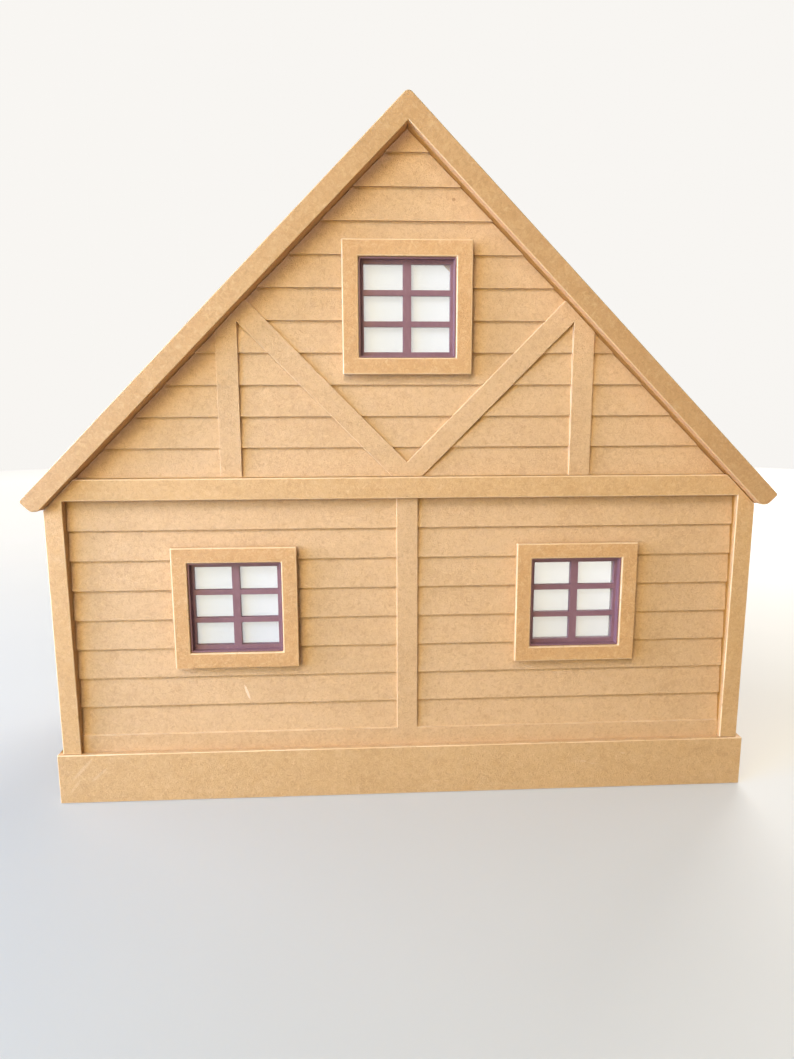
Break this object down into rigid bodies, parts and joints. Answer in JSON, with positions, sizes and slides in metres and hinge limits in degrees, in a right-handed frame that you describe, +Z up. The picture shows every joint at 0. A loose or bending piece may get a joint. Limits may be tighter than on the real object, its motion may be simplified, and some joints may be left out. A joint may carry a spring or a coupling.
{
  "type": "wooden dollhouse",
  "caption": "Gabled wooden dollhouse with a routed weatherboard front, timber-look trim, small-paned windows and an open back for play.",
  "frame": {"origin": "on the surface that the house stands on, under the middle of its bounding box", "axes": "+X across the front to the right as seen from the front, +Y from the window front to the open back, +Z up"},
  "size_m": [0.42, 0.1842, 0.3874],
  "materials": {
    "mdf_board": "fine-sanded MDF under a thin clear satin sealer",
    "mdf_trim": "fine-sanded MDF trim with eased edges, under a thin clear satin sealer",
    "window_paint": "satin plum paint",
    "clear_acrylic": "clear polished sheet",
    "dowel_wood": "plain beech"
  },
  "bodies": {
    "root": {"plinth_front": "mdf_board", "plinth_left": "mdf_board", "plinth_right": "mdf_board", "ground_floor": "mdf_board", "rear_rail": "mdf_board", "side_wall_left": "mdf_board", "side_wall_right": "mdf_board", "front_wall": "mdf_board", "gable_wall": "mdf_board", "room_divider": "mdf_board", "attic_floor": "mdf_board", "roof_panel_left": "mdf_board", "roof_panel_right": "mdf_board", "front_frame": "mdf_trim", "bargeboard": "mdf_trim", "window_left_architrave": "mdf_trim", "window_right_architrave": "mdf_trim", "window_attic_architrave": "mdf_trim", "window_left_sash": "window_paint", "window_right_sash": "window_paint", "window_attic_sash": "window_paint", "window_left_pane": "clear_acrylic", "window_right_pane": "clear_acrylic", "window_attic_pane": "clear_acrylic", "dowel_wall_left_1": "dowel_wood", "dowel_wall_left_2": "dowel_wood", "dowel_wall_right_1": "dowel_wood", "dowel_wall_right_2": "dowel_wood", "dowel_gable_left_1": "dowel_wood", "dowel_gable_left_2": "dowel_wood", "dowel_gable_right_1": "dowel_wood", "dowel_gable_right_2": "dowel_wood"}
  },
  "joints": []
}
